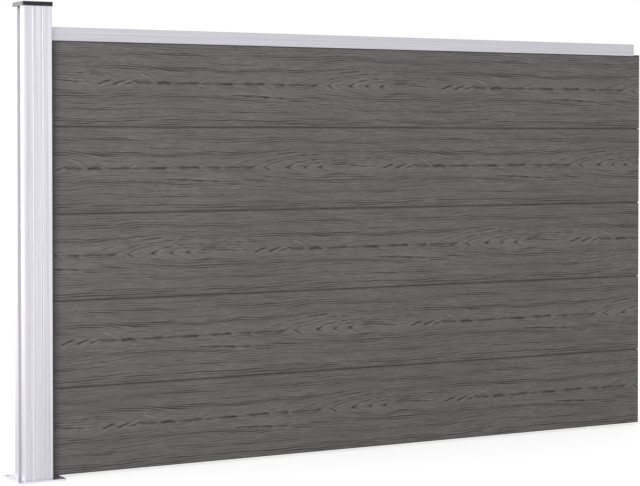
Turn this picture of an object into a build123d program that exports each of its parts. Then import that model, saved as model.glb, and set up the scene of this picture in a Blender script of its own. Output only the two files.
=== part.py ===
from build123d import *

import os

# Composite fence panel on one slotted aluminium post.
# Hollow boards stand on each other's tongues with their ends in the post's right-hand slot.
# The lowest board stands on the base plate, and a rail is pushed over the tongue of the highest one.
# Origin: centre of the base plate's underside, on the post's axis.
# +X runs along the panel to its free end, +Y to the back and +Z up. Lengths are in millimetres.

# Boards
BOARD_COUNT = 5
BOARD_LENGTH = 1716.0
BOARD_STEP = 200.0
BOARD_THICKNESS = 20.0
BOARD_WALL = 4.0
BOARD_EDGE_CHAMFER = 1.5
CHAMBER_COUNT = 7
CHAMBER_CHAMFER = 1.5
TONGUE_THICKNESS = 6.0
TONGUE_HEIGHT = 8.0
TONGUE_CHAMFER = 0.8
TONGUE_SIDE_CLEARANCE = 0.4
SEAM_GAP = 1.2

# Post
POST_WIDTH = 68.0
POST_WALL = 1.8
POST_CORNER_RADIUS = 2.0
POST_ABOVE_RAIL = 52.0
CORE_NECK = 3.0
SLOT_SIDE_CLEARANCE = 0.5
SLOT_END_CLEARANCE = 0.5
SLOT_MOUTH_CHAMFER = 1.5
CORE_RADIUS = 3.0
CORNER_CHAMBER_RADIUS = 1.0
PORT_BLOCK = 10.0
PORT_DIAMETER = 5.0

# Slot covers
COVER_WALL = 1.6
COVER_SIDE_CLEARANCE = 0.05
COVER_FLOOR_CLEARANCE = 0.3

# Top rail
RAIL_HEIGHT = 31.0
RAIL_WALL = 1.6
RAIL_OVERLAP = 2.6
RAIL_SIDE_CLEARANCE = 0.4
RAIL_TONGUE_CLEARANCE = 0.5
RAIL_END_GAP = 0.5
RAIL_CORNER_RADIUS = 1.5
RAIL_LIP_RADIUS = 1.0

# Post cap
CAP_WALL = 1.6
CAP_CLEARANCE = 0.3
CAP_SKIRT = 7.0
CAP_ROOF = 2.8
CAP_EDGE_RADIUS = 0.8
CAP_CORNER_RADIUS = 3.0
CAP_PLUG_DEPTH = 18.0
CAP_PLUG_WALL = 2.0
CAP_PLUG_CLEARANCE = 0.3

# Base plate and the screws that hold it to the post
PLATE_SIZE = 116.0
PLATE_THICKNESS = 6.0
PLATE_CORNER_RADIUS = 6.0
PLATE_EDGE_CHAMFER = 1.0
ANCHOR_HOLE_DIAMETER = 9.0
SCREW_DIAMETER = 4.8
SCREW_HEAD_DIAMETER = 10.0
SCREW_LENGTH = 26.0
SCREW_RECESS = 0.3
SCREW_HOLE_CLEARANCE = 0.25
SCREW_SOCKET_SIDES = 6
SCREW_SOCKET_ACROSS = 4.0
SCREW_SOCKET_DEPTH = 1.6
SCREW_TIP_CHAMFER = 1.0

# Places that follow from the sizes
HALF_POST = POST_WIDTH / 2
SLOT_WIDTH = BOARD_THICKNESS + 2 * SLOT_SIDE_CLEARANCE
SLOT_FLOOR = SLOT_WIDTH / 2 + CORE_NECK
SLOT_DEPTH = HALF_POST - SLOT_FLOOR
BOARD_ENGAGEMENT = SLOT_DEPTH - SLOT_END_CLEARANCE
CORE_WIDTH = 2 * (SLOT_FLOOR - POST_WALL)
CORNER_INNER = SLOT_WIDTH / 2 + POST_WALL
CORNER_OUTER = HALF_POST - POST_WALL
PORT_OFFSET = CORNER_OUTER - PORT_BLOCK / 2
ANCHOR_OFFSET = (HALF_POST + PLATE_SIZE / 2) / 2
BOARD_START = HALF_POST - BOARD_ENGAGEMENT
TONGUE_START = HALF_POST
TONGUE_LENGTH = BOARD_LENGTH - 2 * BOARD_ENGAGEMENT
RAIL_START = TONGUE_START + RAIL_END_GAP
RAIL_END = TONGUE_START + TONGUE_LENGTH
BOARD_FACE = BOARD_STEP - SEAM_GAP
BOARDS_TOP = PLATE_THICKNESS + BOARD_COUNT * BOARD_STEP - SEAM_GAP
RAIL_BOTTOM = BOARDS_TOP - RAIL_OVERLAP
RAIL_WIDTH = BOARD_THICKNESS + 2 * (RAIL_SIDE_CLEARANCE + RAIL_WALL)
POST_TOP = RAIL_BOTTOM + RAIL_HEIGHT + POST_ABOVE_RAIL
QUARTER_TURNS = (0, 90, 180, 270)
COVER_TURNS = {"slot_cover_front": 180, "slot_cover_back": 0}
CORNERS_EACH_WAY = 2


def slot_section():
    """One slot of the post, in its +Y side, with chamfered edges at its mouth."""
    channel = Pos(0, HALF_POST - SLOT_DEPTH / 2) * Rectangle(SLOT_WIDTH, SLOT_DEPTH)
    mouth = Polygon(
        (-SLOT_WIDTH / 2 - SLOT_MOUTH_CHAMFER, HALF_POST),
        (-SLOT_WIDTH / 2, HALF_POST - SLOT_MOUTH_CHAMFER),
        (SLOT_WIDTH / 2, HALF_POST - SLOT_MOUTH_CHAMFER),
        (SLOT_WIDTH / 2 + SLOT_MOUTH_CHAMFER, HALF_POST),
        align=None,
    )
    return channel + mouth


def corner_section():
    """The hollow of one post corner, less the block that carries its screw port."""
    middle = (CORNER_INNER + CORNER_OUTER) / 2
    side = CORNER_OUTER - CORNER_INNER
    hollow = Pos(middle, middle) * RectangleRounded(side, side, CORNER_CHAMBER_RADIUS)
    block = Pos(PORT_OFFSET, PORT_OFFSET) * Rectangle(PORT_BLOCK, PORT_BLOCK)
    port = Pos(PORT_OFFSET, PORT_OFFSET) * Circle(PORT_DIAMETER / 2)
    return hollow - block + port


def post():
    """Extruded post: four slots round a hollow core, with a hollow corner between each pair of slots."""
    section = RectangleRounded(POST_WIDTH, POST_WIDTH, POST_CORNER_RADIUS)
    section -= RectangleRounded(CORE_WIDTH, CORE_WIDTH, CORE_RADIUS)
    for turn in QUARTER_TURNS:
        section -= Rot(0, 0, turn) * slot_section()
        section -= Rot(0, 0, turn) * corner_section()
    return extrude(Plane.XY.offset(PLATE_THICKNESS) * section, POST_TOP - PLATE_THICKNESS)


def slot_cover(turn):
    """Channel strip that closes one slot flush with the post's face, its legs on the slot's floor."""
    width = SLOT_WIDTH - 2 * COVER_SIDE_CLEARANCE
    depth = SLOT_DEPTH - COVER_FLOOR_CLEARANCE
    outside = Pos(0, HALF_POST - depth / 2) * Rectangle(width, depth)
    outer_corners = outside.vertices().sort_by(Axis.Y)[-2:]
    outside = chamfer(outer_corners, SLOT_MOUTH_CHAMFER)
    inside = Pos(0, HALF_POST - depth / 2 - COVER_WALL) * Rectangle(width - 2 * COVER_WALL, depth)
    section = Rot(0, 0, turn) * (outside - inside)
    return extrude(Plane.XY.offset(PLATE_THICKNESS) * section, POST_TOP - PLATE_THICKNESS)


def board_section():
    """Board on edge without its tongue, drawn from its lower shoulder up: groove below, chambers above."""
    body = Pos(0, BOARD_FACE / 2) * Rectangle(BOARD_THICKNESS, BOARD_FACE)
    body = chamfer(body.vertices(), BOARD_EDGE_CHAMFER)
    groove_depth = TONGUE_HEIGHT - SEAM_GAP
    groove_width = TONGUE_THICKNESS + 2 * TONGUE_SIDE_CLEARANCE
    groove = Pos(0, groove_depth / 2) * Rectangle(groove_width, groove_depth)
    section = body - groove
    lowest = groove_depth + BOARD_WALL
    pitch = (BOARD_FACE - lowest) / CHAMBER_COUNT
    chamber = Rectangle(BOARD_THICKNESS - 2 * BOARD_WALL, pitch - BOARD_WALL)
    chamber = chamfer(chamber.vertices(), CHAMBER_CHAMFER)
    for number in range(CHAMBER_COUNT):
        section -= Pos(0, lowest + pitch * number + (pitch - BOARD_WALL) / 2) * chamber
    return section


def tongue_section():
    """The tongue on top of a board, drawn from the same lower shoulder."""
    tongue = Pos(0, BOARD_FACE + TONGUE_HEIGHT / 2) * Rectangle(TONGUE_THICKNESS, TONGUE_HEIGHT)
    return chamfer(tongue.vertices().sort_by(Axis.Y)[-2:], TONGUE_CHAMFER)


def board(number):
    """One board, counted from 0 at the bottom, its left end in the post's slot and its tongue cut back there."""
    foot = Pos(0, PLATE_THICKNESS + number * BOARD_STEP)
    body = extrude(Plane.YZ.offset(BOARD_START) * foot * board_section(), BOARD_LENGTH)
    tongue = extrude(Plane.YZ.offset(TONGUE_START) * foot * tongue_section(), TONGUE_LENGTH)
    return body + tongue


def top_rail():
    """Rail over the highest board: ledges on its shoulders, the tongue between them, skirts outside."""
    inner_width = RAIL_WIDTH - 2 * RAIL_WALL
    outside = Pos(0, RAIL_HEIGHT / 2) * Rectangle(RAIL_WIDTH, RAIL_HEIGHT)
    outside = fillet(outside.vertices().sort_by(Axis.Y)[-2:], RAIL_CORNER_RADIUS)
    outside = fillet(outside.vertices().sort_by(Axis.Y)[:2], RAIL_LIP_RADIUS)
    mouth = Pos(0, RAIL_OVERLAP / 2) * Rectangle(inner_width, RAIL_OVERLAP)
    hollow_low = RAIL_OVERLAP + RAIL_WALL
    hollow_high = RAIL_HEIGHT - RAIL_WALL
    hollow = Pos(0, (hollow_low + hollow_high) / 2) * Rectangle(inner_width, hollow_high - hollow_low)
    throat_width = TONGUE_THICKNESS + 2 * RAIL_TONGUE_CLEARANCE
    throat = Pos(0, hollow_low / 2) * Rectangle(throat_width, hollow_low)
    section = outside - mouth - hollow - throat
    place = Plane.YZ.offset(RAIL_START) * Pos(0, RAIL_BOTTOM)
    return extrude(place * section, RAIL_END - RAIL_START)


def post_cap():
    """Moulded cap: a flat roof with rounded edges, a skirt round the post's head and a plug in its core."""
    inner_width = POST_WIDTH + 2 * CAP_CLEARANCE
    width = inner_width + 2 * CAP_WALL
    bottom = POST_TOP - CAP_SKIRT
    outline = RectangleRounded(width, width, CAP_CORNER_RADIUS)
    shell = extrude(Plane.XY.offset(bottom) * outline, CAP_SKIRT + CAP_ROOF)
    shell = fillet(shell.faces().sort_by(Axis.Z)[-1].edges(), CAP_EDGE_RADIUS)
    hollow = RectangleRounded(inner_width, inner_width, POST_CORNER_RADIUS + CAP_CLEARANCE)
    shell -= extrude(Plane.XY.offset(bottom) * hollow, CAP_SKIRT)
    plug_width = CORE_WIDTH - 2 * CAP_PLUG_CLEARANCE
    bore_width = plug_width - 2 * CAP_PLUG_WALL
    plug_radius = CORE_RADIUS - CAP_PLUG_CLEARANCE
    plug = RectangleRounded(plug_width, plug_width, plug_radius) - Rectangle(bore_width, bore_width)
    return shell + extrude(Plane.XY.offset(POST_TOP - CAP_PLUG_DEPTH) * plug, CAP_PLUG_DEPTH)


def corner_grid(offset):
    """Places at the four corners of a square round the post's axis."""
    return GridLocations(2 * offset, 2 * offset, CORNERS_EACH_WAY, CORNERS_EACH_WAY)


def base_plate():
    """Square foot with an anchor hole in each corner and countersunk holes under the screw ports."""
    outline = RectangleRounded(PLATE_SIZE, PLATE_SIZE, PLATE_CORNER_RADIUS)
    plate = extrude(outline, PLATE_THICKNESS)
    plate = chamfer(plate.faces().sort_by(Axis.Z)[-1].edges(), PLATE_EDGE_CHAMFER)
    anchor_hole = extrude(Circle(ANCHOR_HOLE_DIAMETER / 2), PLATE_THICKNESS)
    plate -= corner_grid(ANCHOR_OFFSET) * anchor_hole
    hole_radius = SCREW_DIAMETER / 2 + SCREW_HOLE_CLEARANCE
    sink_radius = SCREW_HEAD_DIAMETER / 2 + SCREW_RECESS + SCREW_HOLE_CLEARANCE
    sink_depth = sink_radius - hole_radius
    screw_hole = extrude(Circle(hole_radius), PLATE_THICKNESS)
    screw_hole += Pos(0, 0, sink_depth / 2) * Cone(sink_radius, hole_radius, sink_depth)
    return plate - corner_grid(PORT_OFFSET) * screw_hole


def base_screws():
    """Countersunk screws up through the base plate into the post's screw ports."""
    radius = SCREW_DIAMETER / 2
    head_radius = SCREW_HEAD_DIAMETER / 2
    head_height = head_radius - radius
    shank = extrude(Plane.XY.offset(SCREW_RECESS) * Circle(radius), SCREW_LENGTH)
    shank = chamfer(shank.faces().sort_by(Axis.Z)[-1].edges(), SCREW_TIP_CHAMFER)
    head = Pos(0, 0, SCREW_RECESS + head_height / 2) * Cone(head_radius, radius, head_height)
    socket_outline = RegularPolygon(SCREW_SOCKET_ACROSS / 2, SCREW_SOCKET_SIDES, major_radius=False)
    socket = extrude(Plane.XY.offset(SCREW_RECESS) * socket_outline, SCREW_SOCKET_DEPTH)
    screw = shank + head - socket
    return Compound([place * screw for place in corner_grid(PORT_OFFSET)])


def main():
    parts = {
        "base_plate": base_plate(),
        "base_screws": base_screws(),
        "post": post(),
        "post_cap": post_cap(),
        "top_rail": top_rail(),
    }
    for name, turn in COVER_TURNS.items():
        parts[name] = slot_cover(turn)
    for number in range(BOARD_COUNT):
        parts[f"board_{number + 1}"] = board(number)
    os.makedirs("parts", exist_ok=True)
    for name, solid in parts.items():
        export_step(solid, f"parts/{name}.step")


main()
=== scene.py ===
import math

import bpy
import numpy as np
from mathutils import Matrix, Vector


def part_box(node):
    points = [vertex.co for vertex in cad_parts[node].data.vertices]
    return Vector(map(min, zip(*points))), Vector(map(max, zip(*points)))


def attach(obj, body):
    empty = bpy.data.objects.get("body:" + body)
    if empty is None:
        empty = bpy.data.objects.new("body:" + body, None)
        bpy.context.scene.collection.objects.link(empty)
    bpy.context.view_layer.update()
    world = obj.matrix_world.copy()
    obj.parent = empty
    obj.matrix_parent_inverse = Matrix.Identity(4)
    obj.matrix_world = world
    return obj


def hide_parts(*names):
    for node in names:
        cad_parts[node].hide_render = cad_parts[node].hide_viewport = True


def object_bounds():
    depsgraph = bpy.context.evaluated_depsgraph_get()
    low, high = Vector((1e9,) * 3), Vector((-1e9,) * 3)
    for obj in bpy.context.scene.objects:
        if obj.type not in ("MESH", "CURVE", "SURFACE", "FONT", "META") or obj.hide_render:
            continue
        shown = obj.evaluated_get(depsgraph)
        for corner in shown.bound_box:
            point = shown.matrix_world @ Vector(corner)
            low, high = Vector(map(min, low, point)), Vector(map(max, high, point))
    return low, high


# Visual model of a composite fence panel, in metres, in the frame of its solids:
# origin under the post, +X along the panel, +Y to the back, +Z up.
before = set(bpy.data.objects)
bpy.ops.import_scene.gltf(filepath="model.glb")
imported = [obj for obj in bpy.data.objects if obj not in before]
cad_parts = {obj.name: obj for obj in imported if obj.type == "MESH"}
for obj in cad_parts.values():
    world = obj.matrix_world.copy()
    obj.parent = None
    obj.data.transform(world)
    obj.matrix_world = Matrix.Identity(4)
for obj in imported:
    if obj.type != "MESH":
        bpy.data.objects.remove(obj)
cad_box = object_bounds()
post_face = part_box("post")[1].x
rail_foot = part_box("top_rail")[0].z

# Camera at the photograph's viewing angle, with focal length and optical axis in pixels of the photograph
IMAGE_WIDTH, IMAGE_HEIGHT = 640, 486
SENSOR_WIDTH = 36.0
FOCAL_PIXELS = 1873.4
OPTICAL_ROW = 178.36
CAMERA_PLACE = (-1.4867, -4.0500, 0.7772)
CAMERA_YAW = math.radians(-28.867)
CAMERA_PITCH = math.radians(1.2)

# Light: strength of the sky, then place, size and power in watts of the soft boxes
SKY_LIGHT = 0.55
LAMPS = {
    "key": ((-3.0, -5.5, 2.9), 3.0, 138),
    "side": ((-4.4, -4.1, 1.2), 2.0, 50),
    "rim": ((-2.2, 3.9, 1.3), 2.4, 40),
}

# Floor: half its width, its brightness and roughness, and its glow near the panel and further off
FLOOR_REACH = 60.0
FLOOR_SHADE, FLOOR_ROUGH = 0.86, 0.9
FLOOR_GLOW, FLOOR_GLOW_SPAN = (0.54, 1.0), (1.0, 2.4)

# Tints of the greys: red, green and blue as shares of the brightness
NEUTRAL = (1.0, 1.0, 1.0)
WARM = (1.075, 1.0, 1.0)
LILAC = (1.02, 1.0, 1.085)

# Noise in the materials: scale along X, Y and Z with its detail, and the span of its values that is used
FIBRES = ((45, 700, 700), 4)
COMPOSITE_CLOUDS = ((4, 14, 14), 3)
STREAK_DETAIL = 4
METAL_CLOUDS = ((9, 9, 9), 2)
CAP_TEXTURE = ((1400, 1400, 1400), 2)
CAP_CLOUDS = ((60, 60, 60), 2)
ZINC_CLOUDS = ((220, 220, 220), 3)
NOISE_ROUGHNESS = 0.6
STREAK_SPAN = (0.30, 0.70)
CLOUD_SPAN = (0.35, 0.65)

# Composite: brightness of fibres, clouds, raised lines and deep lines (the deep tone also paints shade), then
# its gloss and fine relief
FIBRE_SHADES = (0.114, 0.194)
CLOUD_SHADE, CLOUD_SHARE = 0.124, 0.45
RAISED_SHADE, DEEP_SHADE = 0.265, 0.030
COMPOSITE_ROUGH, COMPOSITE_SPECULAR = (0.62, 0.82), 0.25
COMPOSITE_BUMP = (0.35, 0.0004)

# Aluminium finishes: scale of the streaks along X, Y and Z, brightness, roughness and share of metal
METALS = {
    "anodised_upright": ((280, 280, 1.5), (0.57, 0.80), (0.30, 0.46), 0.30),
    "anodised_lengthwise": ((1.5, 420, 420), (0.53, 0.66), (0.30, 0.46), 0.30),
    # Paler, glossier copy of the upright finish for the cover beads: a painted highlight
    "painted_highlight_bead": ((280, 280, 1.5), (0.78, 0.86), (0.20, 0.30), 0.20),
    "rolled_plate": ((4, 300, 300), (0.70, 0.80), (0.14, 0.22), 1.0),
}
METAL_CLOUD_SHARE = 0.3
METAL_BUMP = (0.12, 0.0002)

# Cap and screws: brightness and roughness, then the cap's gloss and fine relief
CAP_SHADES, CAP_ROUGH = (0.005, 0.009), (0.20, 0.30)
CAP_SPECULAR = 0.4
CAP_BUMP = (0.18, 0.0002)
ZINC_SHADES, ZINC_ROUGH = (0.46, 0.60), (0.24, 0.42)

# Beads on the edges of the slot covers, in a paler aluminium that paints their highlight
BEAD_WIDTH, BEAD_RISE, BEAD_SIDES = 0.0026, 0.0008, 6

# Sockets of the Mix node that take and give colours
MIX_FACTOR, MIX_FIRST, MIX_SECOND, MIX_RESULT = 0, 6, 7, 2

# Embossed grain: one turn of the embossing roller, repeated along each board from its own start. Its depth is
# GRAIN_LOW on a raised line and 1 in the deepest one, and GRAIN_DEPTH is the length of one unit.
ROLLER_TURN = 0.9415
GRAIN_START = {"board_5": 0.324, "board_4": 0.149, "board_3": 0.731, "board_2": 0.233, "board_1": 0.334}
GRAIN_DEPTH = 0.0008
GRAIN_LOW = -0.5

# Cells of the relief along and up the board, and the heights that are averaged, as shares of a cell
FRONT_CELL = (0.0042, 0.0011)
BACK_CELL = (0.0100, 0.0018)
ROW_SAMPLES = (-1 / 3, 0, 1 / 3)

# Width over which the relief fades at a board's edges, and depth and width of the painted shade along the
# seams, beside the post (as a share of that depth) and, as a painted shadow, below the rail
EDGE_FADE = 0.003
PAINTED_SHADE_DEPTH, SEAM_SHADOW_WIDTH = 0.75, 0.0018
POST_SHADING_SHARE, POST_SHADOW_WIDTH = 0.8, 0.034
RAIL_SHADOW_HEIGHT = 0.0015

# What counts as a board's broad face and as the tip of its tongue
BROAD_NORMAL, FACE_TOLERANCE = 0.99, 0.0003
TOP_BOARD, TONGUE_TOLERANCE = "board_5", 0.0005

# Noise of the grain: rows of its table, shift from line to line, and the seed of each use
NOISE_ROWS = 512
LINE_SHIFT = 0.137
JITTER_SEED = 30
FAINT_SEEDS = (34, 31)
BAND_SEEDS = (32, 33)
FLECK_SEED = 50
ARM_SEED = 14
DRIFT_SEED, WAVE_SEED, ROUGH_SEED = 20, 22, 21

# Growth lines along the board: height of the heart line, then step, half width and uneven place of the lines
HEART_HEIGHT = 0.1015
LINE_STEP, LINE_HALF, LINE_JITTER = 0.0054, 0.0013, 0.20

# Strength of a line: its mean, its change from line to line and along a line, and the length of that change
FAINT_LINE = (0.34, 0.14, 0.30, 0.055)
BAND_LINE = (0.45, 0.15, 0.40, 0.075)

# Bands in which the lines are strong (height above the heart line, half width, strength), how much wider a
# line is there, shares of the pale lines and flecks between the dark ones, and cell of the flecks
BANDS = (
    (0.066, 0.0085, 0.75),
    (0.034, 0.0070, 0.85),
    (-0.032, 0.0080, 1.00),
    (-0.060, 0.0065, 0.75),
    (-0.0905, 0.0085, 1.00),
)
BAND_WIDENING = 0.25
PALE_SHARE, FLECK_SHARE = 0.75, 0.20
FLECK_CELL = (0.030, 0.0032)

# How the lines wander (amount and cell) and part round the lens of arches: amount, reach near the heart line
# and in all, then start and end of the rise and of the fall above and below the heart line
WANDER = ((0.0026, (0.20, 0.070)), (0.0022, (0.060, 0.022)), (0.0012, (0.030, 0.011)))
SWELLING, SWELLING_HEART, SWELLING_REACH = 0.022, 0.024, 0.070
SWELLING_ABOVE = (0.34, 0.52, 0.82, 1.00)
SWELLING_BELOW = (0.30, 0.62, 0.76, 0.98)

# Smears on the heart line: start, end, half width, strength at the start and at the end
SMEARS = (
    (-0.0755, 0.410, 0.0028, 0.48, 0.54),
    (-0.0235, 0.019, 0.0048, 0.78, 0.78),
    (0.022, 0.090, 0.0040, 0.56, 0.82),
    (0.094, 0.180, 0.0034, 0.55, 0.86),
    (0.184, 0.212, 0.0030, 0.46, 0.46),
    (0.211, 0.267, 0.0045, 0.74, 0.80),
    (0.271, 0.320, 0.0034, 0.46, 0.84),
    (0.324, 0.409, 0.0035, 0.56, 0.84),
    (0.866, 0.911, 0.0040, 0.55, 0.66),
)
SMEAR_FADE, SMEAR_CURVE = 0.005, 3

# Core line that waves inside the lens
CORE_PLACE, CORE_REACH, CORE_FADE = 0.690, 0.080, 0.030
CORE_HEIGHT, CORE_WAVE, CORE_TURN = 0.0030, 0.0025, 6
CORE_STRENGTH, CORE_HALF = 0.75, 0.0018

# Dark streak that falls below the heart line
STREAK_PLACE, STREAK_REACH, STREAK_FADE = 0.250, 0.100, 0.050
STREAK_HEIGHT, STREAK_FALL = -0.0305, 0.008
STREAK_STRENGTH, STREAK_HALF = 0.75, 0.0025

# Slanting strokes between the lens and the smears
STROKES = (0.787, 0.825, 0.856)
STROKE_REACH, STROKE_FADE, STROKE_RISE = 0.020, 0.010, 0.013
STROKE_STRENGTH, STROKE_HALF = 0.9, 0.0031

# Chevrons behind the smears (tip, length, rise), each with pale arms and dark ones outside them
CHEVRONS = (
    (0.088, 0.040, 0.0095),
    (0.178, 0.050, 0.0110),
    (0.264, 0.036, 0.0085),
    (0.318, 0.045, 0.0095),
    (0.406, 0.045, 0.0130),
    (0.451, 0.034, 0.0095),
    (0.514, 0.040, 0.0100),
    (0.556, 0.034, 0.0090),
    (0.600, 0.040, 0.0085),
)
CHEVRON_FADE, CHEVRON_CURVE, CHEVRON_APART = 0.004, 0.35, 0.0030
CHEVRON_PALE, CHEVRON_PALE_HALF = 0.75, 0.0016
CHEVRON_DARK, CHEVRON_DARK_HALF = 0.7, 0.0014

# Pale slash down to the first smear
SLASH_START, SLASH_END, SLASH_FADE = 0.872, 0.920, 0.010
SLASH_HEIGHT, SLASH_STRENGTH, SLASH_HALF = 0.024, 0.7, 0.0018

# Arches that close again to nested lenses: tip, closing tip, rise, and strength of the upper and of the lower
# arm near the tip
LENSES = (
    (0.345, 0.925, 0.0420, 0.5, 0.3),
    (0.404, 0.905, 0.0350, 1.0, 0.5),
    (0.438, 0.890, 0.0285, 0.7, 1.0),
    (0.500, 0.870, 0.0220, 0.9, 0.7),
    (0.548, 0.840, 0.0160, 0.7, 0.9),
    (0.590, 0.805, 0.0100, 0.9, 0.8),
)

# Arms of an arch: length of their bend in rises, strength and its change, start, closing and half width, and
# rows of noise in a metre of rise, which tell the arches apart
ARM_BEND = 2.2
ARM_STRENGTH, ARM_CHANGE, ARM_CELL = 0.46, 0.30, (0.07, 1)
ARM_START, LOWER_ARM, ARM_HALF = 0.04, 0.15, 0.0016
ARM_ROWS = 1000
TIP_BEFORE, TIP_REACH, TIP_CURVE, TIP_FADE = 0.1, 0.024, 1.3, 0.006
TIP_WIDENING = 0.0014
CLOSING_LOSS, CLOSING_REACH, CLOSING_FADE = 0.6, 0.080, 0.02

# Unevenness of the marks: amount and cell of two waves of the heart line and of the rough outline
DRIFT_AMOUNT, DRIFT_CELL = 0.0006, (0.06, 1)
WAVE_AMOUNT, WAVE_CELL = 0.0010, (0.10, 0.012)
ROUGH_AMOUNT, ROUGH_CELL = 0.3, (0.014, 0.003)

# Pale rims of the dark marks: reach in half widths, how much they calm the growth lines and how pale they are
RIM_REACH, RIM_CALM, RIM_PALE = 1.2, 0.6, 0.55


def eased(value):
    """0 below 0, 1 above 1 and smooth between."""
    value = np.clip(value, 0, 1)
    return value * value * (3 - 2 * value)


def ridge(distance, half):
    """1 on a line, falling to little at twice its half width."""
    return np.exp(-(distance / half) ** 2)


def from_place(along, place, before=ROLLER_TURN / 2):
    """Signed way along the roller from a place on it, down to the given length before it."""
    return np.mod(along - place + before, ROLLER_TURN) - before


def grain_noise(along, across, cell, seed):
    """Smooth noise from -1 to 1 with cells of the given size, the same after each turn of the roller."""
    columns = max(round(ROLLER_TURN / cell[0]), 1)
    table = np.random.default_rng(seed).uniform(-1, 1, (columns, NOISE_ROWS))
    a = along / ROLLER_TURN * columns
    b = across / cell[1]
    i = np.floor(a).astype(int)
    j = np.floor(b).astype(int)
    s = eased(a - i)
    t = eased(b - j)
    left, right = i % columns, (i + 1) % columns
    lower, upper = j % NOISE_ROWS, (j + 1) % NOISE_ROWS
    low = table[left, lower] * (1 - s) + table[right, lower] * s
    high = table[left, upper] * (1 - s) + table[right, upper] * s
    return low * (1 - t) + high * t


def of_row(row, seed, along=0.0, length=ROLLER_TURN):
    """Noise of its own for each numbered line, the same all along or changing over the given length."""
    return grain_noise(along + LINE_SHIFT * row, row, (length, 1), seed)


def line_strength(row, along, line, seeds):
    """Strength of the numbered lines, which changes from line to line and along each of them."""
    mean, by_line, by_way, length = line
    return mean + by_line * of_row(row, seeds[0]) + by_way * of_row(row, seeds[1], along, length)


def swelling(along, flanks):
    """0 where the growth lines run straight, 1 where they have parted round the lens."""
    rise_start, rise_end, fall_start, fall_end = flanks
    turn = np.mod(along - rise_start, ROLLER_TURN) + rise_start
    risen = eased((turn - rise_start) / (rise_end - rise_start))
    return risen - eased((turn - fall_start) / (fall_end - fall_start))


def growth_lines(along, across):
    """Dark and pale growth lines, from -1 to 1, that wander along the board and part round the lens."""
    below = swelling(along, SWELLING_BELOW)
    above = swelling(along, SWELLING_ABOVE)
    swell = below + (above - below) * eased(across / SWELLING_HEART + 0.5)
    drift = sum(amount * grain_noise(along, across, cell, seed) for seed, (amount, cell) in enumerate(WANDER))
    parting = SWELLING * swell * np.tanh(across / SWELLING_HEART) * ridge(across, SWELLING_REACH)
    level = across - parting + drift
    band = sum(share * ridge(across + drift - place, half) for place, half, share in BANDS)
    row = np.round(level / LINE_STEP)
    off = level - LINE_STEP * (row + LINE_JITTER * of_row(row, JITTER_SEED))
    faint = line_strength(row, along, FAINT_LINE, FAINT_SEEDS)
    strong = line_strength(row, along, BAND_LINE, BAND_SEEDS)
    strength = np.clip(np.maximum(faint, 0) + band * strong, 0, 1)
    dark = strength * ridge(off, LINE_HALF * (1 + BAND_WIDENING * band))
    pale = strength * ridge(np.abs(off) - LINE_STEP / 2, LINE_HALF)
    fleck = grain_noise(along, level, FLECK_CELL, FLECK_SEED)
    return dark - (PALE_SHARE * pale + FLECK_SHARE * fleck) * (1 - dark)


def bar(along, start, end, fade):
    """Share of the way from the start of a mark to its end, and 1 on the mark with soft ends."""
    half = (end - start) / 2
    on = from_place(along, start + half)
    return np.clip(on / half / 2 + 0.5, 0, 1), eased((half - np.abs(on)) / fade)


def arch(along, across, tip, closing, rise, upper, lower):
    """Strength, distance and half width of two arms that part from a tip and meet again at the closing."""
    on = from_place(along, tip, TIP_BEFORE)
    ahead = np.maximum(on, 0)
    behind = np.maximum(closing - tip - on, 0)
    above = across > 0
    bend = ARM_BEND * rise
    arm = rise * (1 - np.exp(-ahead / bend)) * (1 - np.exp(-behind / bend))
    near = np.exp(-(ahead / TIP_REACH) ** TIP_CURVE) * np.where(above, upper, lower)
    body = ARM_STRENGTH + ARM_CHANGE * grain_noise(along, ARM_ROWS * rise, ARM_CELL, ARM_SEED)
    body = np.where(above, body * eased(ahead / ARM_START), LOWER_ARM)
    body = body * (1 - CLOSING_LOSS * np.exp(-behind / CLOSING_REACH))
    strength = np.maximum(near, body) * eased(behind / CLOSING_FADE) * eased(on / TIP_FADE + 1)
    return strength, np.abs(across) - arm, ARM_HALF + TIP_WIDENING * near


def chevron(along, across, tip, length, rise):
    """Strength and distance of two short arms that part from a tip and fade."""
    way, inside = bar(along, tip, tip + length, CHEVRON_FADE)
    return (1 - way) * inside, np.abs(across) - rise * way ** CHEVRON_CURVE


def dark_marks(along, across):
    """Strength, distance from its line, half width and share of pale rim of each dark mark."""
    for start, end, half, first, last in SMEARS:
        way, inside = bar(along, start, end, SMEAR_FADE)
        yield (first + (last - first) * way ** SMEAR_CURVE) * inside, across, half, 0
    way, inside = bar(along, CORE_PLACE - CORE_REACH, CORE_PLACE + CORE_REACH, CORE_FADE)
    yield CORE_STRENGTH * inside, across - CORE_HEIGHT - CORE_WAVE * np.sin(CORE_TURN * way), CORE_HALF, 1
    way, inside = bar(along, STREAK_PLACE - STREAK_REACH, STREAK_PLACE + STREAK_REACH, STREAK_FADE)
    yield STREAK_STRENGTH * inside, across - STREAK_HEIGHT + STREAK_FALL * (way - 0.5), STREAK_HALF, 1
    for place in STROKES:
        way, inside = bar(along, place - STROKE_REACH, place + STROKE_REACH, STROKE_FADE)
        yield STROKE_STRENGTH * inside, across - STROKE_RISE * (way - 0.5), STROKE_HALF, 1
    for mark in CHEVRONS:
        strength, distance = chevron(along, across, *mark)
        yield CHEVRON_DARK * strength, distance - CHEVRON_APART, CHEVRON_DARK_HALF, 0
    for lens in LENSES:
        yield *arch(along, across, *lens), 1


def pale_marks(along, across):
    """Strength, distance from its line and half width of each pale mark."""
    for mark in CHEVRONS:
        strength, distance = chevron(along, across, *mark)
        yield CHEVRON_PALE * strength, distance, CHEVRON_PALE_HALF
    way, inside = bar(along, SLASH_START, SLASH_END, SLASH_FADE)
    yield SLASH_STRENGTH * inside, across - SLASH_HEIGHT * (1 - way), SLASH_HALF


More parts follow.
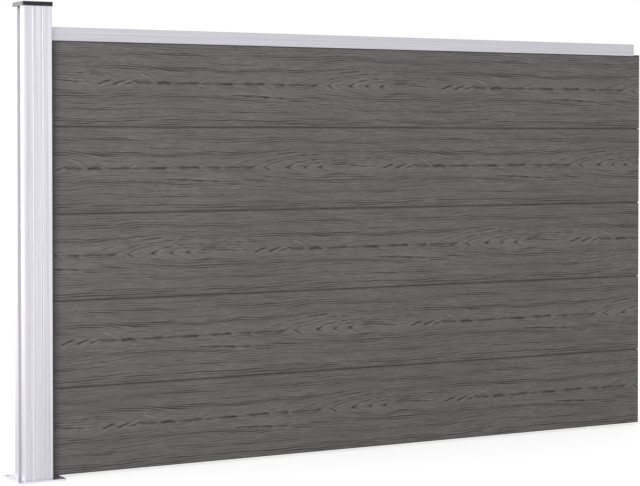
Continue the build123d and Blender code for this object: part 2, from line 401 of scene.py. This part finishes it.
def grain(along, height):
    """Depth of the embossed grain, from GRAIN_LOW on a raised line to 1 in a deep one."""
    across = height - HEART_HEIGHT
    lines = growth_lines(along, across)
    across = across + DRIFT_AMOUNT * grain_noise(along, 0.0, DRIFT_CELL, DRIFT_SEED)
    across = across + WAVE_AMOUNT * grain_noise(along, across, WAVE_CELL, WAVE_SEED)
    rough = 1 + ROUGH_AMOUNT * grain_noise(along, across, ROUGH_CELL, ROUGH_SEED)
    marks = np.zeros_like(along)
    rims = np.zeros_like(along)
    for strength, distance, half, rim in dark_marks(along, across):
        marks = np.maximum(marks, strength * rough * ridge(distance, half * rough))
        rims = np.maximum(rims, strength * ridge(distance, (1 + RIM_REACH * rim) * half))
    depth = np.maximum(lines * (1 - RIM_CALM * rims), marks) - RIM_PALE * np.clip(rims - marks, 0, 1)
    for strength, distance, half in pale_marks(along, across):
        pale = strength * ridge(distance, half * rough)
        depth = depth * (1 - pale) + GRAIN_LOW * pale
    return np.clip(depth, GRAIN_LOW, 1)


def face_grid(low, high, top, y, cell, outward, start):
    """Vertices, quads and grain of an embossed board face between two corners (x, z), in view up to a top;
    the grain also holds painted shade along the seams, beside the post and below the rail.
    """
    columns = round((high[0] - low[0]) / cell[0]) + 1
    rows = round((high[1] - low[1]) / cell[1]) + 1
    x, z = np.meshgrid(np.linspace(low[0], high[0], columns), np.linspace(low[1], high[1], rows))
    rim = np.minimum.reduce([x - low[0], high[0] - x, z - low[1], high[1] - z])
    along = (x - start) * -outward
    height = z - low[1]
    depth = np.mean([grain(along, height + share * cell[1]) for share in ROW_SAMPLES], 0)
    sunk = GRAIN_DEPTH * (depth - GRAIN_LOW) * eased(rim / EDGE_FADE)
    # Painted shade: the grain is drawn towards a deep tone along the seams, beside the post and, as a painted
    # shadow, below the rail.
    edge = 1 - eased(np.minimum(z - low[1], top - z) / SEAM_SHADOW_WIDTH)
    edge = np.maximum(edge, POST_SHADING_SHARE * (1 - eased((x - post_face) / POST_SHADOW_WIDTH)))
    depth = depth + (PAINTED_SHADE_DEPTH - depth) * edge
    points = np.stack([x, y - outward * sunk, z], -1).reshape(-1, 3)
    first = (np.arange(rows - 1)[:, None] * columns + np.arange(columns - 1)).ravel()
    quads = np.stack([first, first + 1, first + columns + 1, first + columns], -1)
    if outward > 0:
        quads = quads[:, ::-1]
    return points, quads, depth.ravel()


def plain_section(node):
    """Points and faces of a board without its two broad faces, and the heights between which those reach."""
    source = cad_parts[node].data
    low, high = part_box(node)
    points = np.array([v.co for v in source.vertices])
    faces = []
    broad_points = []
    for polygon in source.polygons:
        flat = abs(polygon.normal.y) > BROAD_NORMAL
        if flat and abs(polygon.center.y) > high.y - FACE_TOLERANCE:
            broad_points.extend(polygon.vertices)
        else:
            faces.append(tuple(polygon.vertices))
    heights = points[broad_points][:, 2]
    if node != TOP_BOARD:
        tongue_end = points[points[:, 2] > high.z - TONGUE_TOLERANCE, 0].max()
        points[points[:, 0] > tongue_end - TONGUE_TOLERANCE, 0] = high.x
    return points, faces, heights.min(), heights.max()


def new_object(name, points, faces, material):
    """A mesh object in the scene, with one material."""
    mesh = bpy.data.meshes.new(name)
    mesh.from_pydata(points, [], faces)
    mesh.materials.append(material)
    thing = bpy.data.objects.new(name, mesh)
    bpy.context.collection.objects.link(thing)
    return thing


def embossed_board(node, material):
    """The board's own section with embossed broad faces; its tongue, if in a seam, runs to the free end."""
    low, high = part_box(node)
    points, faces, foot, head = plain_section(node)
    corners = (low.x, foot), (high.x, head)
    # The board counts as in view up to a little below the rail's foot; above that lies the painted shadow of
    # the rail.
    top = min(head, rail_foot - RAIL_SHADOW_HEIGHT)
    depths = [np.zeros(len(points))]
    smooth = [False] * len(faces)
    for y, outward, cell in ((low.y, -1, FRONT_CELL), (high.y, 1, BACK_CELL)):
        new_points, quads, depth = face_grid(*corners, top, y, cell, outward, GRAIN_START[node])
        faces.extend(map(tuple, (quads + len(points)).tolist()))
        smooth.extend([True] * len(quads))
        points = np.concatenate([points, new_points])
        depths.append(depth)
    board = new_object(f"embossed_{node}", points.tolist(), faces, material)
    board.data.polygons.foreach_set("use_smooth", smooth)
    # The grain attribute also carries the painted shade along the seams, beside the post and below the rail.
    board.data.attributes.new("grain", "FLOAT", "POINT").data.foreach_set("value", np.concatenate(depths))
    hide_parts(node)
    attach(board, "root")


def new_material(name):
    """An empty node material: its tree, its Principled shader and a function that adds a node."""
    material = bpy.data.materials.new(name)
    material.use_nodes = True
    tree = material.node_tree
    shader = tree.nodes["Principled BSDF"]

    def add(kind, **settings):
        node = tree.nodes.new(kind)
        for key, value in settings.items():
            if hasattr(node, key):
                setattr(node, key, value)
            else:
                node.inputs[key].default_value = value
        return node

    return material, tree, shader, add


def stretched_noise(tree, add, scale, detail):
    """Noise on object coordinates with its own scale along X, Y and Z."""
    coordinates = add("ShaderNodeTexCoord")
    mapping = add("ShaderNodeMapping")
    mapping.inputs["Scale"].default_value = scale
    noise = add("ShaderNodeTexNoise", Scale=1.0, Detail=detail, Roughness=NOISE_ROUGHNESS)
    tree.links.new(coordinates.outputs["Object"], mapping.inputs["Vector"])
    tree.links.new(mapping.outputs["Vector"], noise.inputs["Vector"])
    return noise.outputs["Fac"]


def ramp(tree, add, source, results, span=(0.0, 1.0)):
    """A value mapped smoothly from a span to two results."""
    node = add("ShaderNodeMapRange", interpolation_type="SMOOTHSTEP")
    for socket, value in zip(("From Min", "From Max", "To Min", "To Max"), (*span, *results)):
        node.inputs[socket].default_value = value
    tree.links.new(source, node.inputs["Value"])
    return node.outputs["Result"]


def mixed(tree, add, factor, first, second):
    """Two colours, or a colour and a socket, mixed by a factor socket."""
    node = add("ShaderNodeMix", data_type="RGBA")
    for place, value in ((MIX_FACTOR, factor), (MIX_FIRST, first), (MIX_SECOND, second)):
        socket = node.inputs[place]
        if isinstance(value, bpy.types.NodeSocket):
            tree.links.new(value, socket)
        else:
            socket.default_value = value
    return node.outputs[MIX_RESULT]


def shade(value, tint=NEUTRAL):
    """A grey of the given brightness with a tint."""
    return (*(value * share for share in tint), 1)


def bump(tree, add, shader, height, strength, distance):
    """Fine relief on a shader."""
    node = add("ShaderNodeBump", Strength=strength, Distance=distance)
    tree.links.new(height, node.inputs["Height"])
    tree.links.new(node.outputs["Normal"], shader.inputs["Normal"])


def composite_material():
    """Matte warm grey wood-plastic: pale raised lines, dark deep ones, fine fibres and faint clouds; the deep
    tone also paints shade at the seams, beside the post and below the rail.
    """
    material, tree, shader, add = new_material("grey_composite")
    depth = add("ShaderNodeAttribute", attribute_name="grain").outputs["Fac"]
    fibres = stretched_noise(tree, add, *FIBRES)
    clouds = stretched_noise(tree, add, *COMPOSITE_CLOUDS)
    dull, bright = (shade(value, WARM) for value in FIBRE_SHADES)
    colour = mixed(tree, add, ramp(tree, add, fibres, (0, 1), STREAK_SPAN), dull, bright)
    cloudy = ramp(tree, add, clouds, (0, CLOUD_SHARE), CLOUD_SPAN)
    colour = mixed(tree, add, cloudy, colour, shade(CLOUD_SHADE, WARM))
    raised = ramp(tree, add, depth, (1, 0), (GRAIN_LOW, 0))
    colour = mixed(tree, add, raised, colour, shade(RAISED_SHADE, WARM))
    # Deep lines and the painted shade along the seams, beside the post and below the rail both take the deep
    # tone.
    colour = mixed(tree, add, ramp(tree, add, depth, (0, 1)), colour, shade(DEEP_SHADE, WARM))
    tree.links.new(colour, shader.inputs["Base Color"])
    tree.links.new(ramp(tree, add, fibres, COMPOSITE_ROUGH, STREAK_SPAN), shader.inputs["Roughness"])
    shader.inputs["Specular IOR Level"].default_value = COMPOSITE_SPECULAR
    bump(tree, add, shader, fibres, *COMPOSITE_BUMP)
    return material


def aluminium_material(name, streaks, shades, rough, metallic):
    """Satin aluminium with fine streaks along the way it was extruded or rolled."""
    material, tree, shader, add = new_material(name)
    lines = stretched_noise(tree, add, streaks, STREAK_DETAIL)
    clouds = stretched_noise(tree, add, *METAL_CLOUDS)
    dark, pale = (shade(value, LILAC) for value in shades)
    colour = mixed(tree, add, ramp(tree, add, lines, (0, 1), STREAK_SPAN), dark, pale)
    cloudy = ramp(tree, add, clouds, (0, METAL_CLOUD_SHARE), CLOUD_SPAN)
    colour = mixed(tree, add, cloudy, colour, shade(sum(shades) / 2, LILAC))
    tree.links.new(colour, shader.inputs["Base Color"])
    tree.links.new(ramp(tree, add, lines, rough, STREAK_SPAN), shader.inputs["Roughness"])
    shader.inputs["Metallic"].default_value = metallic
    bump(tree, add, shader, lines, *METAL_BUMP)
    return material


def cap_material():
    """Satin black moulded plastic with a fine eroded texture."""
    material, tree, shader, add = new_material("black_moulding")
    texture = stretched_noise(tree, add, *CAP_TEXTURE)
    clouds = stretched_noise(tree, add, *CAP_CLOUDS)
    dark, pale = (shade(value) for value in CAP_SHADES)
    colour = mixed(tree, add, ramp(tree, add, clouds, (0, 1), CLOUD_SPAN), dark, pale)
    tree.links.new(colour, shader.inputs["Base Color"])
    tree.links.new(ramp(tree, add, texture, CAP_ROUGH, CLOUD_SPAN), shader.inputs["Roughness"])
    shader.inputs["Specular IOR Level"].default_value = CAP_SPECULAR
    bump(tree, add, shader, texture, *CAP_BUMP)
    return material


def screw_material():
    """Zinc-plated steel with a slightly uneven bright finish."""
    material, tree, shader, add = new_material("zinc_plated_steel")
    clouds = stretched_noise(tree, add, *ZINC_CLOUDS)
    dark, pale = (shade(value, LILAC) for value in ZINC_SHADES)
    colour = mixed(tree, add, ramp(tree, add, clouds, (0, 1), CLOUD_SPAN), dark, pale)
    tree.links.new(colour, shader.inputs["Base Color"])
    tree.links.new(ramp(tree, add, clouds, ZINC_ROUGH, CLOUD_SPAN), shader.inputs["Roughness"])
    shader.inputs["Metallic"].default_value = 1.0
    return material


def bright_edges(cover, outward, material):
    """Fine half-round beads on the two edges of a slot cover, in a paler aluminium that paints a highlight
    all up the post.
    """
    low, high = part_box(cover)
    y = high.y if outward > 0 else low.y
    turns = np.linspace(0, math.pi, BEAD_SIDES + 1)
    points = []
    faces = []
    for x in (low.x - BEAD_WIDTH / 4, high.x + BEAD_WIDTH / 4):
        first = len(points)
        for z in (low.z, high.z):
            for t in turns:
                points.append((x + BEAD_WIDTH / 2 * math.cos(t), y + outward * BEAD_RISE * math.sin(t), z))
        upper = first + BEAD_SIDES + 1
        faces += [(first + i, first + i + 1, upper + i + 1, upper + i) for i in range(BEAD_SIDES)]
        faces += [tuple(range(first, upper)), tuple(range(upper, upper + BEAD_SIDES + 1))]
        faces.append((first, first + BEAD_SIDES, upper + BEAD_SIDES, upper))
    edges = new_object(f"edges_{cover}", points, faces, material)
    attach(edges, "root")


def wear(node, material):
    """Gives a CAD node its material."""
    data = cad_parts[node].data
    data.materials.clear()
    data.materials.append(material)


def dress():
    """Materials on the metal and plastic pieces, embossed boards in place of the plain ones."""
    metals = {name: aluminium_material(name, *finish) for name, finish in METALS.items()}
    for node in ("post", "slot_cover_front", "slot_cover_back"):
        wear(node, metals["anodised_upright"])
    # Beads on the cover edges, in the paler aluminium that paints their highlight
    bright_edges("slot_cover_front", -1, metals["painted_highlight_bead"])
    bright_edges("slot_cover_back", 1, metals["painted_highlight_bead"])
    wear("top_rail", metals["anodised_lengthwise"])
    wear("base_plate", metals["rolled_plate"])
    wear("post_cap", cap_material())
    wear("base_screws", screw_material())
    composite = composite_material()
    for node in GRAIN_START:
        embossed_board(node, composite)


def seen_directly(tree):
    """1 for rays of the camera and for rays in reflections and through glass, 0 for the rest."""
    path = tree.nodes.new("ShaderNodeLightPath")
    seen = path.outputs["Is Camera Ray"]
    for ray in ("Is Glossy Ray", "Is Transmission Ray"):
        either = tree.nodes.new("ShaderNodeMath")
        either.operation = "MAXIMUM"
        tree.links.new(seen, either.inputs[0])
        tree.links.new(path.outputs[ray], either.inputs[1])
        seen = either.outputs[0]
    return seen


def floor_material():
    """White floor that glows where it is seen: less near the panel, so that its shadow shows."""
    material, tree, shader, add = new_material("white_floor")
    shader.inputs["Base Color"].default_value = shade(FLOOR_SHADE)
    shader.inputs["Roughness"].default_value = FLOOR_ROUGH
    shader.inputs["Specular IOR Level"].default_value = 0.0
    middle = (cad_box[0] + cad_box[1]) / 2
    way = add("ShaderNodeVectorMath", operation="DISTANCE")
    way.inputs[1].default_value = (middle.x, middle.y, 0)
    tree.links.new(add("ShaderNodeTexCoord").outputs["Object"], way.inputs[0])
    glow = add("ShaderNodeEmission")
    strength = ramp(tree, add, way.outputs["Value"], FLOOR_GLOW, FLOOR_GLOW_SPAN)
    tree.links.new(strength, glow.inputs["Strength"])
    both = add("ShaderNodeAddShader")
    choice = add("ShaderNodeMixShader")
    tree.links.new(shader.outputs[0], both.inputs[0])
    tree.links.new(glow.outputs[0], both.inputs[1])
    tree.links.new(seen_directly(tree), choice.inputs[0])
    tree.links.new(shader.outputs[0], choice.inputs[1])
    tree.links.new(both.outputs[0], choice.inputs[2])
    tree.links.new(choice.outputs[0], tree.nodes["Material Output"].inputs["Surface"])
    return material


def add_floor():
    """Wide white floor under the panel."""
    corners = [(FLOOR_REACH * x, FLOOR_REACH * y, 0) for x, y in ((-1, -1), (1, -1), (1, 1), (-1, 1))]
    floor = new_object("floor", corners, [(0, 1, 2, 3)], floor_material())


def add_world():
    """Even soft sky, seen as plain white by the camera and in reflections."""
    world = bpy.data.worlds.new("studio")
    bpy.context.scene.world = world
    world.use_nodes = True
    tree = world.node_tree
    background = tree.nodes["Background"]
    strength = tree.nodes.new("ShaderNodeMapRange")
    strength.inputs["To Min"].default_value = SKY_LIGHT
    strength.inputs["To Max"].default_value = 1.0
    tree.links.new(seen_directly(tree), strength.inputs["Value"])
    tree.links.new(strength.outputs["Result"], background.inputs["Strength"])
    background.inputs["Color"].default_value = shade(1.0)


def add_lamp(name, place, target, size, power):
    """A square soft box aimed at a point."""
    data = bpy.data.lights.new(name, "AREA")
    data.shape = "SQUARE"
    data.size = size
    data.energy = power
    lamp = bpy.data.objects.new(name, data)
    lamp.location = place
    lamp.rotation_euler = (Vector(target) - Vector(place)).to_track_quat("-Z", "Y").to_euler()
    lamp.visible_camera = False
    bpy.context.collection.objects.link(lamp)


def add_lights():
    """Even sky with a key from the front and softer lamps from the left and from behind on the left."""
    add_world()
    middle = (cad_box[0] + cad_box[1]) / 2
    for name, (place, size, power) in LAMPS.items():
        add_lamp(name, place, middle, size, power)


def add_camera():
    """Camera at the photograph's place, with the photograph's framing."""
    data = bpy.data.cameras.new("camera")
    data.sensor_width = SENSOR_WIDTH
    data.lens = FOCAL_PIXELS / IMAGE_WIDTH * SENSOR_WIDTH
    data.shift_y = (OPTICAL_ROW - IMAGE_HEIGHT / 2) / IMAGE_WIDTH
    camera = bpy.data.objects.new("camera", data)
    camera.location = CAMERA_PLACE
    camera.rotation_euler = (math.pi / 2 - CAMERA_PITCH, 0, CAMERA_YAW)
    bpy.context.collection.objects.link(camera)
    bpy.context.scene.camera = camera


bpy.context.scene.view_settings.view_transform = "Standard"
dress()
add_floor()
add_lights()
add_camera()
